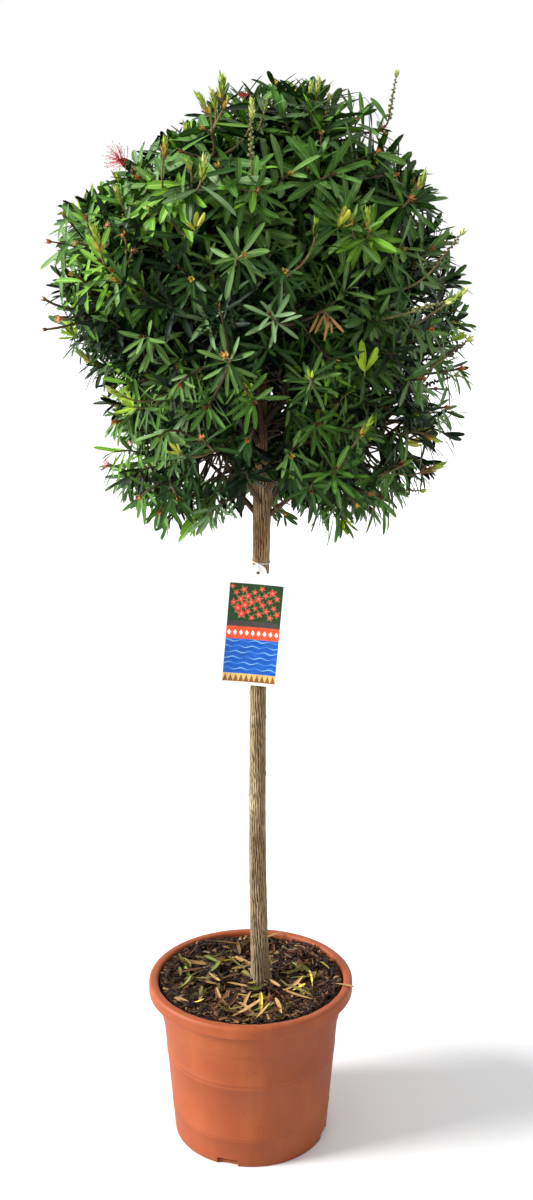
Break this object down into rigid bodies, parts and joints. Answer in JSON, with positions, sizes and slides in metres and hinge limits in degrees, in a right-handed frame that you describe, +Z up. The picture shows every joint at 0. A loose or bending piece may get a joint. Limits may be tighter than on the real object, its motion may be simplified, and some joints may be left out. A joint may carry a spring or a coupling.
{
  "type": "potted bottlebrush standard",
  "caption": "Bottlebrush shrub grown as a standard: a clear straight trunk under a round leafy crown, in a round terracotta-coloured plastic pot, with a hang tag.",
  "frame": {"origin": "middle of the pot's flat underside", "axes": "+Z up along the pot's axis; the hang tag and the sawn stub on the trunk face -Y"},
  "size_m": [0.6293, 0.6619, 1.6023],
  "materials": {
    "pot": "moulded terracotta-coloured plastic, faintly glossy, with scuffs",
    "compost": "damp bark compost with mulch chips and dry leaves",
    "bark": "fissured grey-brown bark",
    "foliage": "dark green narrow leaves with a soft sheen",
    "card": null,
    "string": "white cotton string"
  },
  "bodies": {
    "root": {"pot": "pot", "soil": "compost", "trunk": "bark", "tag": "card", "tie": "string", "bough_low_1": "bark", "bough_low_2": "bark", "bough_low_3": "bark", "bough_low_4": "bark", "bough_low_5": "bark", "bough_low_6": "bark", "bough_middle_1": "bark", "bough_middle_2": "bark", "bough_middle_3": "bark", "bough_middle_4": "bark", "bough_middle_5": "bark", "bough_middle_6": "bark", "bough_high_1": "bark", "bough_high_2": "bark", "bough_high_3": "bark", "bough_high_4": "bark", "bough_high_5": "bark", "foliage_low_1": "foliage", "foliage_low_2": "foliage", "foliage_low_3": "foliage", "foliage_low_4": "foliage", "foliage_low_5": "foliage", "foliage_low_6": "foliage", "foliage_middle_1": "foliage", "foliage_middle_2": "foliage", "foliage_middle_3": "foliage", "foliage_middle_4": "foliage", "foliage_middle_5": "foliage", "foliage_middle_6": "foliage", "foliage_high_1": "foliage", "foliage_high_2": "foliage", "foliage_high_3": "foliage", "foliage_high_4": "foliage", "foliage_high_5": "foliage", "foliage_top": "foliage"}
  },
  "joints": []
}
